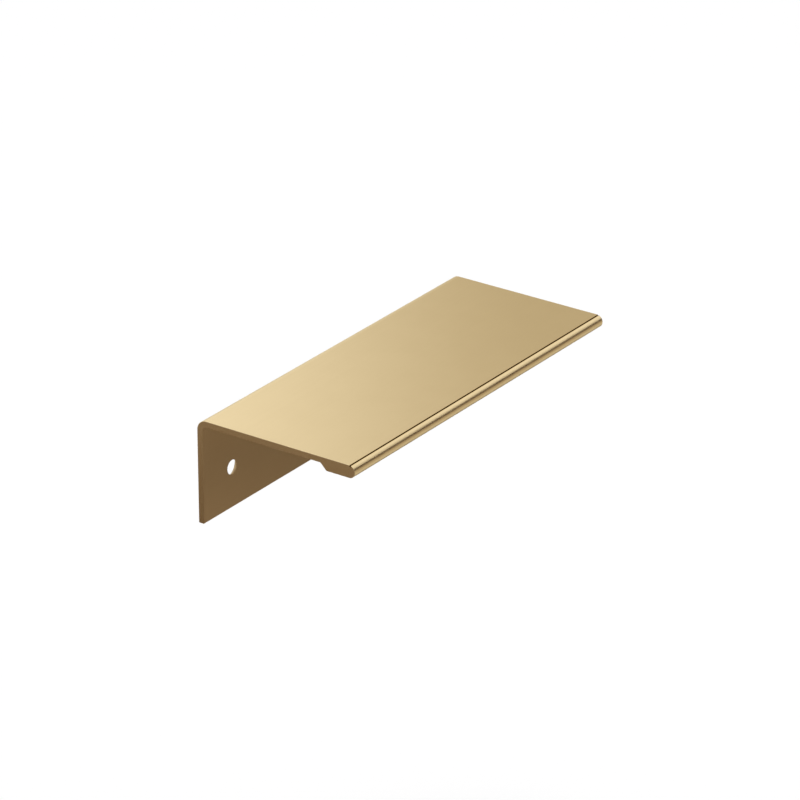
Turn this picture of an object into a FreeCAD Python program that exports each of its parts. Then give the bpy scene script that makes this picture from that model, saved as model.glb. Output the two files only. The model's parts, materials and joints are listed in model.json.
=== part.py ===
import FreeCAD, Part
import math
import os

# Tab pull: one aluminium extrusion, cut to length and drilled, with a satin champagne-gold finish.
# Millimetres. X runs along the pull, -Y points to the front (the nose) and +Z is up.
# The origin lies midway between the two screw holes, on the mounting face: the side of the flange
# that goes against the back of the door.

# Overall sizes
LENGTH = 116.0  # end to end, along X
DEPTH = 50.2  # back of the flange to the tip of the nose
HEIGHT = 29.9  # foot of the flange to the top of the plate

# Section of the extrusion
WALL = 1.75  # plate and flange
BEND_INSIDE_R = 1.25  # the outside of the bend has the same centre
LIP_DROP = 1.9  # how far the lip hangs below the plate's underside
LIP_LENGTH = 8.95  # tip of the nose to the foot of the sloped step behind the lip
STEP_ANGLE = 45.0  # slope of that step, in degrees
CORNER_R = 0.3  # small round that the die leaves on the other corners

# Quirk: the narrow groove that sets the round nose off from the flat top
QUIRK_LEAD = 0.25  # its back wall lies this far in front of the line where the nose starts to round
QUIRK_WIDTH = 0.3
QUIRK_DEPTH = 0.45

# Screw holes in the flange, countersunk from the back for flat-head wood screws
HOLE_D = 4.1
HOLE_LAND = 0.3  # straight wall that the countersink leaves at the mounting face
SINK_ANGLE = 90.0  # full angle of the countersink, in degrees
HOLE_FROM_END = 12.4
HOLE_BELOW_TOP = 18.2

# Finish of the saw cuts
EDGE_BREAK = 0.08  # deburred edge all round both ends

# Places that follow from the sizes
TOP = HOLE_BELOW_TOP
FOOT = TOP - HEIGHT
UNDERSIDE = TOP - WALL
BACK = WALL
TIP = BACK - DEPTH
LIP = WALL + LIP_DROP
NOSE_R = LIP / 2
END = LENGTH / 2

OVERCUT = 1.0  # cutting tools reach this far past the faces they open
TOLERANCE = 1e-6  # lengths below this count as nothing


def corner_arc(before, corner, after, radius):
    """First, middle and last point of the tangent arc that rounds a corner."""
    to_before = (before - corner).normalize()
    to_after = (after - corner).normalize()
    half_angle = to_before.getAngle(to_after) / 2
    inward = (to_before + to_after).normalize()
    setback = radius / math.tan(half_angle)
    depth = radius / math.sin(half_angle) - radius
    return corner + to_before * setback, corner + inward * depth, corner + to_after * setback


def rounded_outline(corners):
    """Closed wire in the YZ plane through (y, z, radius) corners, sharp where the radius is 0."""
    points = [FreeCAD.Vector(-END, y, z) for y, z, radius in corners]
    arcs = []
    for i, (y, z, radius) in enumerate(corners):
        arcs.append(corner_arc(points[i - 1], points[i], points[(i + 1) % len(points)], radius))
    edges = []
    for i, (start, middle, end) in enumerate(arcs):
        if corners[i][2] > 0:
            edges.append(Part.Arc(start, middle, end).toShape())
        next_start = arcs[(i + 1) % len(arcs)][0]
        if end.distanceToPoint(next_start) > TOLERANCE:
            edges.append(Part.LineSegment(end, next_start).toShape())
    return Part.Wire(edges)


def extruded(outline):
    """The outline run along the whole length of the pull."""
    return Part.Face(outline).extrude(FreeCAD.Vector(LENGTH, 0, 0))


def profile():
    """Flange, bend, plate and stepped lip with its fully rounded nose."""
    step_foot = TIP + LIP_LENGTH
    step_head = step_foot + LIP_DROP / math.tan(math.radians(STEP_ANGLE))
    return extruded(rounded_outline([
        (BACK, FOOT, CORNER_R),
        (BACK, TOP, BEND_INSIDE_R + WALL),
        (TIP, TOP, NOSE_R),
        (TIP, TOP - LIP, NOSE_R),
        (step_foot, TOP - LIP, CORNER_R),
        (step_head, UNDERSIDE, CORNER_R),
        (0, UNDERSIDE, BEND_INSIDE_R),
        (0, FOOT, CORNER_R),
    ]))


def quirk():
    """Round-bottomed groove along the whole nose."""
    back_wall = TIP + NOSE_R - QUIRK_LEAD
    front_wall = back_wall - QUIRK_WIDTH
    bottom = TOP - QUIRK_DEPTH
    return extruded(rounded_outline([
        (back_wall, TOP + OVERCUT, 0),
        (front_wall, TOP + OVERCUT, 0),
        (front_wall, bottom, QUIRK_WIDTH / 2),
        (back_wall, bottom, QUIRK_WIDTH / 2),
    ]))


def screw_hole(x):
    """Straight hole from the mounting face, opening into a countersink at the back."""
    through_flange = FreeCAD.Vector(0, 1, 0)
    hole_r = HOLE_D / 2
    drill = Part.makeCylinder(hole_r, WALL + 2 * OVERCUT, FreeCAD.Vector(x, -OVERCUT, 0), through_flange)
    sink_depth = BACK + OVERCUT - HOLE_LAND
    sink_r = hole_r + sink_depth * math.tan(math.radians(SINK_ANGLE / 2))
    sink = Part.makeCone(hole_r, sink_r, sink_depth, FreeCAD.Vector(x, HOLE_LAND, 0), through_flange)
    return drill.fuse(sink)


def end_edges(solid):
    """Edges round the two cut ends."""
    return [edge for edge in solid.Edges
            if edge.BoundBox.XLength < TOLERANCE and abs(abs(edge.BoundBox.XMin) - END) < TOLERANCE]


def tab_pull():
    """The finished pull: section with broken end edges, quirk and two screw holes."""
    body = profile()
    body = body.makeChamfer(EDGE_BREAK, end_edges(body))
    hole_x = END - HOLE_FROM_END
    return body.cut([quirk(), screw_hole(-hole_x), screw_hole(hole_x)])


os.makedirs("parts", exist_ok=True)
tab_pull().exportStep("parts/tab_pull.step")
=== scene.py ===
import json
import math

import bpy
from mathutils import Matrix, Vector


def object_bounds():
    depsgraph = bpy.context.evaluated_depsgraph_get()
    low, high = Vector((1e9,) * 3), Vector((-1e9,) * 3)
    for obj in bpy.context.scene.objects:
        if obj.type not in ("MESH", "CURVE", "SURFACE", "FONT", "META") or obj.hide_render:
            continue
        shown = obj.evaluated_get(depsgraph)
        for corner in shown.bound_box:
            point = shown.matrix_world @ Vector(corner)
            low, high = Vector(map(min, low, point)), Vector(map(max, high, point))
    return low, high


# Tab pull in satin champagne-gold anodised aluminium, held in the air over a pale floor.
# Metres. X runs along the pull, -Y points to the front (the nose) and +Z is up.

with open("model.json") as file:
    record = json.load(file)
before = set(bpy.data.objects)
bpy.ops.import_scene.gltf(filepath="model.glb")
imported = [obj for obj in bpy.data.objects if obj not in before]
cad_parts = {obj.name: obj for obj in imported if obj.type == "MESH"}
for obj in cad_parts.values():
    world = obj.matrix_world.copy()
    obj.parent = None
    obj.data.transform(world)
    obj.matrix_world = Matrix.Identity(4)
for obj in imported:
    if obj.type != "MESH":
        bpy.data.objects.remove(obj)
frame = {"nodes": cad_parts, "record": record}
cad_low, cad_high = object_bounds()
centre = (cad_low + cad_high) / 2
MM = 0.001

# Camera, as in the photograph: a long lens, from the front left and above
AIM = Vector((0.87, -21.20, 7.40)) * MM
VIEW_AZIMUTH = math.radians(-54.993)
VIEW_ELEVATION = math.radians(24.758)
VIEW_DISTANCE = 1.2566
SENSOR_WIDTH = 36.0
LENS = 212.16
CLIP_START = 0.05
CLIP_END = 20.0

# Stage
FLOOR_DROP = 0.16  # from the foot of the pull down to the floor
FLOOR_SIZE = 6.0
FLOOR_GREY = 0.85
WORLD_LIGHT = 0.5  # brightness of the white world as a light
WHITE = (1.0, 1.0, 1.0, 1.0)

# Cards that only the metal's reflections show, with places and sizes in millimetres.
# Where a card has a second colour, it fades from the first to that one within a share of its
# width (X) or of its height (Y, from the front on a level card).
UPWARDS = (0, 0, 1)
BACKWARDS = (0, 1, 0)
FORWARDS_LEFT = (-0.819, -0.574, 0.0)
CARDS = (
    dict(name="end_card", middle=(-230, 40, -20), facing=UPWARDS, size=(340, 320),
         colour=(0.250, 0.174, 0.114, 1.0), fades_to=(0.163, 0.107, 0.066, 1.0),
         along="X", within=(0.80, 0.89)),
    dict(name="under_card", middle=(50, -11, -20), facing=UPWARDS, size=(220, 26),
         colour=(0.266, 0.205, 0.165, 1.0), fades_to=(0.203, 0.157, 0.126, 1.0),
         along="X", within=(0.0, 0.36)),
    dict(name="under_lip_card", middle=(50, -38, -20), facing=UPWARDS, size=(220, 28),
         colour=(0.226, 0.174, 0.140, 1.0), fades_to=(0.173, 0.133, 0.107, 1.0),
         along="X", within=(0.0, 0.36)),
    dict(name="behind_card", middle=(10, 68.5, -20), facing=UPWARDS, size=(140, 133),
         colour=(0.50, 0.42, 0.32, 1.0), fades_to=(0.24, 0.19, 0.135, 1.0),
         along="Y", within=(0.21, 0.47)),
    dict(name="far_end_card", middle=(280, 0, -20), facing=UPWARDS, size=(240, 200),
         colour=(0.26, 0.20, 0.155, 1.0)),
    dict(name="lip_card", middle=(50, -43, -3), facing=BACKWARDS, size=(220, 34),
         colour=(0.25, 0.19, 0.15, 1.0)),
    dict(name="front_card", middle=(150, -180, -29), facing=BACKWARDS, size=(800, 252),
         colour=(0.63, 0.56, 0.455, 1.0), fades_to=(0.04, 0.005, 0.0, 1.0),
         along="Y", within=(0.54, 0.775)),
    dict(name="fore_card", middle=(100, -85, -20), facing=UPWARDS, size=(400, 66),
         colour=(0.68, 0.63, 0.54, 1.0), fades_to=(0.84, 0.81, 0.73, 1.0),
         along="Y", within=(0.3, 1.0)),
    dict(name="back_card", middle=(237, 161, 190), facing=FORWARDS_LEFT, size=(400, 160),
         colour=(1.39, 1.425, 1.515, 1.0), fades_to=(0.605, 0.555, 0.467, 1.0),
         along="X", within=(0.30, 0.665)),
    dict(name="low_card", middle=(237, 161, -20), facing=FORWARDS_LEFT, size=(400, 260),
         colour=(0.92, 0.92, 0.90, 1.0), fades_to=(0.64, 0.585, 0.495, 1.0),
         along="X", within=(0.30, 0.665)),
)

# Lamps
SOFTBOX_PLACE = Vector((450, -110, 410)) * MM
SOFTBOX_SIZE = 0.32
SOFTBOX_POWER = 0.07
SOFTBOX_COLOUR = (0.93, 1.0, 1.25)
OVERHEAD_POWER = 1.57
OVERHEAD_ANGLE = math.radians(36)

# Colours of the anodised metal, and the painted shade in its groove and holes
GOLD_DEEP = (0.712, 0.557, 0.309, 1.0)
GOLD_PALE = (0.728, 0.573, 0.321, 1.0)
GOLD_WORN = (0.800, 0.670, 0.440, 1.0)  # where handling has polished the edges of the ends
QUIRK_PAINTED_SHADE = (0.055, 0.022, 0.003, 1.0)  # painted shade: the narrow groove darkened in the colour, for the shade inside it
QUIRK_SHADE_FRINGE = (0.600, 0.330, 0.060, 1.0)  # painted shade: an amber fringe on the metal beside the groove, the soft edge of its shade
HOLE_PAINTED_SHADE = (0.620, 0.485, 0.290, 1.0)  # painted shade: the walls of the holes darkened in the colour, for the shade inside them
EDGE_TINT = (1.00, 0.99, 0.91, 1.0)  # the dyed skin keeps its colour at a grazing angle

# Marks on the metal: their sizes, and how many finer layers each has
GRAIN = 0.19 * MM  # left by blasting
GRAIN_LAYERS = 2.0
CLOUD = 11 * MM  # faint clouds in the dye
CLOUD_LAYERS = 3.0
LINE_WIDTH = 0.4 * MM  # lines that the die draws along the extrusion
LINE_LENGTH = 80 * MM
LINE_LAYERS = 2.0
SAW_MARK = 0.2 * MM
SAW_HUB = Vector((0, -20, -160)) * MM  # the saw's marks are arcs about this axis along X
RING = 0.08 * MM  # turning marks in the holes
CUT_LAYERS = 1.0  # of saw marks and rings

# How the marks show in the colour
LINE_TONE = 0.4
CLOUD_TONE = 0.6
TONE_SPREAD = (0.3, 0.7)  # from the deep gold to the pale one
WORN_WIDTH = 0.35 * MM
WORN_SPREAD = (0.25, 0.75)  # heights of the grain, from untouched to worn
WORN_SHARE = 0.5

# Roughness, and what each mark or place adds to it
SATIN_ROUGHNESS = 0.31
GRAIN_ROUGHNESS = 0.04
END_ROUGHNESS = 0.02
QUIRK_ROUGHNESS = 0.15
HOLE_ROUGHNESS = 0.50

# Relief: the height of the grain, and the other marks as shares of it
GRAIN_HEIGHT = 0.003 * MM
LINE_HEIGHT = 0.2
SAW_HEIGHT = 0.8
RING_HEIGHT = 0.5

# Places on the pull
MOUNTS = {mount["name"]: mount["dims"] for mount in frame["record"]["mounts"]}
HOLE_X = MOUNTS["screw_holes"]["spacing_x_mm"] / 2 * MM
SINK_RIM = 3.5 * MM  # radius of the countersinks at the back of the flange
QUIRK_FROM_TIP = 1.425 * MM  # tip of the nose to the middle of the quirk
QUIRK_WIDTH = 0.3 * MM
QUIRK_DEPTH = 0.45 * MM
QUIRK_SHADE_SPREAD = 0.10 * MM  # the groove's painted shade fades out this far beyond it
FRINGE_SHADE_SPREAD = 0.18 * MM  # and its amber painted fringe this far
SKIN = 0.01 * MM  # margin that tells a face from what lies just inside it
END_FACING = 0.9  # a face that looks this much along X is a cut end


class Nodes:
    """Shorthand for a node tree: add a node, set its values and join its sockets."""

    # Sockets of a Mix node that mixes colours
    MIX_SHARE = 0
    MIX_FIRST = 6
    MIX_SECOND = 7
    MIX_RESULT = 2

    def __init__(self, tree):
        self.tree = tree
        self.tree.nodes.clear()

    def add(self, kind, settings=None, **values):
        node = self.tree.nodes.new(kind)
        for name, value in (settings or {}).items():
            setattr(node, name, value)
        for name, value in values.items():
            self.set(node.inputs[name.replace("_", " ")], value)
        return node

    def set(self, socket, value):
        if isinstance(value, bpy.types.NodeSocket):
            self.tree.links.new(value, socket)
        else:
            socket.default_value = value

    def math(self, operation, *values):
        node = self.add("ShaderNodeMath", {"operation": operation})
        for socket, value in zip(node.inputs, values):
            self.set(socket, value)
        return node.outputs[0]

    def split(self, vector):
        return self.add("ShaderNodeSeparateXYZ", Vector=vector).outputs

    def fade(self, value, start, end):
        """0 at start and 1 at end, with a soft change between them."""
        node = self.add("ShaderNodeMapRange", {"interpolation_type": "SMOOTHSTEP"},
                        Value=value, From_Min=start, From_Max=end)
        return node.outputs[0]

    def mix(self, share, first, second):
        node = self.add("ShaderNodeMix", {"data_type": "RGBA"})
        self.set(node.inputs[self.MIX_SHARE], share)
        self.set(node.inputs[self.MIX_FIRST], first)
        self.set(node.inputs[self.MIX_SECOND], second)
        return node.outputs[self.MIX_RESULT]

    def noise(self, vector, scale, layers):
        return self.add("ShaderNodeTexNoise", Vector=vector, Scale=scale, Detail=layers).outputs[0]

    def line_noise(self, value, scale, layers):
        node = self.add("ShaderNodeTexNoise", {"noise_dimensions": "1D"},
                        W=value, Scale=scale, Detail=layers)
        return node.outputs[0]

    def stretched(self, vector, scale):
        return self.add("ShaderNodeMapping", Vector=vector, Scale=scale).outputs[0]

    def from_axis(self, first, second):
        """Distance from an axis, given the two offsets across it."""
        squares = self.math("MULTIPLY_ADD", second, second, self.math("MULTIPLY", first, first))
        return self.math("SQRT", squares)


def seen_directly(nodes):
    """1 for rays from the camera and for what metal and glass show, 0 for the rest."""
    path = nodes.add("ShaderNodeLightPath")
    shown = nodes.math("MAXIMUM", path.outputs["Is Camera Ray"], path.outputs["Is Glossy Ray"])
    return nodes.math("MAXIMUM", shown, path.outputs["Is Transmission Ray"])


def new_material(name):
    material = bpy.data.materials.new(name)
    material.use_nodes = True
    return material, Nodes(material.node_tree)


def champagne_gold():
    """Satin anodised aluminium: blasted grain, die lines, saw marks on the ends and turned holes, with
    painted shade in the quirk's groove and in the holes.
    """
    material, nodes = new_material("champagne_gold_anodised")
    texture = nodes.add("ShaderNodeTexCoord")
    place = texture.outputs["Object"]
    x, y, z = nodes.split(place)
    from_middle = nodes.math("ABSOLUTE", x)

    # Where on the pull
    facing_end = nodes.math("ABSOLUTE", nodes.split(texture.outputs["Normal"])["X"])
    on_end = nodes.math("GREATER_THAN", facing_end, END_FACING)
    off_end = nodes.math("SUBTRACT", 1.0, on_end)
    near_end = nodes.fade(from_middle, cad_high.x - WORN_WIDTH, cad_high.x)
    from_hole = nodes.from_axis(nodes.math("SUBTRACT", from_middle, HOLE_X), z)
    # The walls of the holes: turned rings, more roughness and painted shade
    in_wall = nodes.math("COMPARE", y, cad_high.y / 2, cad_high.y / 2 - SKIN)
    in_hole = nodes.math("MULTIPLY", in_wall, nodes.math("LESS_THAN", from_hole, SINK_RIM))
    # The quirk's narrow groove: where its painted shade and extra roughness go
    near_top = nodes.math("GREATER_THAN", z, cad_high.z - QUIRK_DEPTH - SKIN)
    from_quirk = nodes.math("ABSOLUTE", nodes.math("SUBTRACT", y, cad_low.y + QUIRK_FROM_TIP))
    in_groove = nodes.fade(from_quirk, QUIRK_WIDTH / 2 + QUIRK_SHADE_SPREAD, QUIRK_WIDTH / 2)
    in_quirk = nodes.math("MULTIPLY", near_top, in_groove)
    # A margin beside the groove: where the amber fringe of its painted shade goes
    by_groove = nodes.fade(from_quirk, QUIRK_WIDTH / 2 + FRINGE_SHADE_SPREAD, QUIRK_WIDTH / 2)
    fringe_beside_quirk = nodes.math("MULTIPLY", near_top, by_groove)

    # Marks of blasting, dyeing, extruding, sawing and turning
    grain = nodes.noise(place, 1 / GRAIN, GRAIN_LAYERS)
    clouds = nodes.noise(place, 1 / CLOUD, CLOUD_LAYERS)
    drawn = nodes.stretched(place, (1 / LINE_LENGTH, 1 / LINE_WIDTH, 1 / LINE_WIDTH))
    lines = nodes.noise(drawn, 1.0, LINE_LAYERS)
    across = nodes.math("SUBTRACT", y, SAW_HUB.y)
    above = nodes.math("SUBTRACT", z, SAW_HUB.z)
    saw = nodes.line_noise(nodes.from_axis(across, above), 1 / SAW_MARK, CUT_LAYERS)
    rings = nodes.line_noise(from_hole, 1 / RING, CUT_LAYERS)

    # Colour
    tone = nodes.math("MULTIPLY_ADD", lines, LINE_TONE, nodes.math("MULTIPLY", clouds, CLOUD_TONE))
    colour = nodes.mix(nodes.fade(tone, *TONE_SPREAD), GOLD_DEEP, GOLD_PALE)
    worn = nodes.math("MULTIPLY", near_end, nodes.fade(grain, *WORN_SPREAD))
    colour = nodes.mix(nodes.math("MULTIPLY", worn, WORN_SHARE), colour, GOLD_WORN)
    # Painted shade: the walls of the holes darkened in the colour
    colour = nodes.mix(in_hole, colour, HOLE_PAINTED_SHADE)
    # Painted shade: an amber fringe beside the quirk, the soft warm edge of its shade
    colour = nodes.mix(fringe_beside_quirk, colour, QUIRK_SHADE_FRINGE)
    # Painted shade: the quirk's groove darkened in the colour, for the shade inside it
    colour = nodes.mix(in_quirk, colour, QUIRK_PAINTED_SHADE)

    # Gloss
    rough = nodes.math("MULTIPLY_ADD", grain, GRAIN_ROUGHNESS, SATIN_ROUGHNESS)
    rough = nodes.math("MULTIPLY_ADD", on_end, END_ROUGHNESS, rough)
    rough = nodes.math("MULTIPLY_ADD", in_quirk, QUIRK_ROUGHNESS, rough)
    rough = nodes.math("MULTIPLY_ADD", in_hole, HOLE_ROUGHNESS, rough)

    # Relief
    height = nodes.math("MULTIPLY_ADD", nodes.math("MULTIPLY", lines, off_end), LINE_HEIGHT, grain)
    height = nodes.math("MULTIPLY_ADD", nodes.math("MULTIPLY", saw, on_end), SAW_HEIGHT, height)
    height = nodes.math("MULTIPLY_ADD", nodes.math("MULTIPLY", rings, in_hole), RING_HEIGHT, height)
    relief = nodes.add("ShaderNodeBump", Strength=1.0, Distance=GRAIN_HEIGHT, Height=height)

    shader = nodes.add("ShaderNodeBsdfPrincipled", Metallic=1.0, Specular_Tint=EDGE_TINT,
                       Base_Color=colour, Roughness=rough, Normal=relief.outputs[0])
    nodes.add("ShaderNodeOutputMaterial", Surface=shader.outputs[0])
    return material


def make_floor():
    """Pale floor, white to look at where no shadow falls on it."""
    place = (centre.x, centre.y, cad_low.z - FLOOR_DROP)
    bpy.ops.mesh.primitive_plane_add(size=FLOOR_SIZE, location=place)
    floor = bpy.context.object
    floor.name = "floor"
    material, nodes = new_material("pale_floor")
    diffuse = nodes.add("ShaderNodeBsdfDiffuse", Color=(FLOOR_GREY, FLOOR_GREY, FLOOR_GREY, 1.0))
    lift = nodes.math("MULTIPLY", seen_directly(nodes), 1.0 - FLOOR_GREY)
    glow = nodes.add("ShaderNodeEmission", Color=WHITE, Strength=lift)
    both = nodes.add("ShaderNodeAddShader")
    nodes.set(both.inputs[0], diffuse.outputs[0])
    nodes.set(both.inputs[1], glow.outputs[0])
    nodes.add("ShaderNodeOutputMaterial", Surface=both.outputs[0])
    floor.data.materials.append(material)


def make_world():
    """White to look at, and less bright as a light."""
    world = bpy.data.worlds.new("studio")
    bpy.context.scene.world = world
    world.use_nodes = True
    nodes = Nodes(world.node_tree)
    level = nodes.math("MULTIPLY_ADD", seen_directly(nodes), 1.0 - WORLD_LIGHT, WORLD_LIGHT)
    sky = nodes.add("ShaderNodeBackground", Color=WHITE, Strength=level)
    nodes.add("ShaderNodeOutputWorld", Surface=sky.outputs[0])


def turn(thing, axis, direction):
    """Turn an object so that one of its axes points in a direction, with its Y axis upwards."""
    thing.rotation_mode = "QUATERNION"
    thing.rotation_quaternion = direction.to_track_quat(axis, "Y")


def make_card(name, middle, facing, size, colour, fades_to=None, along="X", within=(0.0, 1.0)):
    """Glowing sheet that only the metal's reflections show."""
    bpy.ops.mesh.primitive_plane_add(size=1.0)
    card = bpy.context.object
    card.name = name
    card.scale = (size[0] * MM, size[1] * MM, 1.0)
    card.location = Vector(middle) * MM
    if facing != UPWARDS:
        turn(card, "Z", Vector(facing))
    card.visible_camera = False
    card.visible_diffuse = False
    card.visible_transmission = False
    card.visible_shadow = False
    material, nodes = new_material(name)
    if fades_to:
        place = nodes.add("ShaderNodeTexCoord").outputs["Generated"]
        colour = nodes.mix(nodes.fade(nodes.split(place)[along], *within), colour, fades_to)
    glow = nodes.add("ShaderNodeEmission", Color=colour, Strength=1.0)
    nodes.add("ShaderNodeOutputMaterial", Surface=glow.outputs[0])
    card.data.materials.append(material)


def add_object(name, data):
    """New object in the scene, for a lamp or a camera."""
    thing = bpy.data.objects.new(name, data)
    bpy.context.scene.collection.objects.link(thing)
    return thing


def make_softbox():
    """A faint soft light at the right, for the bright band along the rounded nose."""
    data = bpy.data.lights.new("side_softbox", "AREA")
    data.shape = "DISK"
    data.size = SOFTBOX_SIZE
    data.energy = SOFTBOX_POWER
    data.color = SOFTBOX_COLOUR
    lamp = add_object("side_softbox", data)
    lamp.location = SOFTBOX_PLACE
    turn(lamp, "-Z", centre - SOFTBOX_PLACE)
    lamp.visible_camera = False


def make_overhead():
    """A wide soft light from above, which lights the floor evenly and leaves the pull's shadow on it."""
    data = bpy.data.lights.new("overhead", "SUN")
    data.energy = OVERHEAD_POWER
    data.angle = OVERHEAD_ANGLE
    lamp = add_object("overhead", data)
    lamp.visible_glossy = False


def make_camera():
    back = Vector((
        math.sin(VIEW_AZIMUTH) * math.cos(VIEW_ELEVATION),
        -math.cos(VIEW_AZIMUTH) * math.cos(VIEW_ELEVATION),
        math.sin(VIEW_ELEVATION),
    ))
    data = bpy.data.cameras.new("camera")
    data.sensor_width = SENSOR_WIDTH
    data.lens = LENS
    data.clip_start = CLIP_START
    data.clip_end = CLIP_END
    camera = add_object("camera", data)
    camera.location = AIM + back * VIEW_DISTANCE
    turn(camera, "-Z", -back)
    bpy.context.scene.camera = camera


pull = frame["nodes"]["tab_pull"]
pull.data.materials.clear()
pull.data.materials.append(champagne_gold())

make_floor()
make_world()
for card in CARDS:
    make_card(**card)
make_softbox()
make_overhead()
make_camera()
bpy.context.scene.view_settings.view_transform = "Standard"
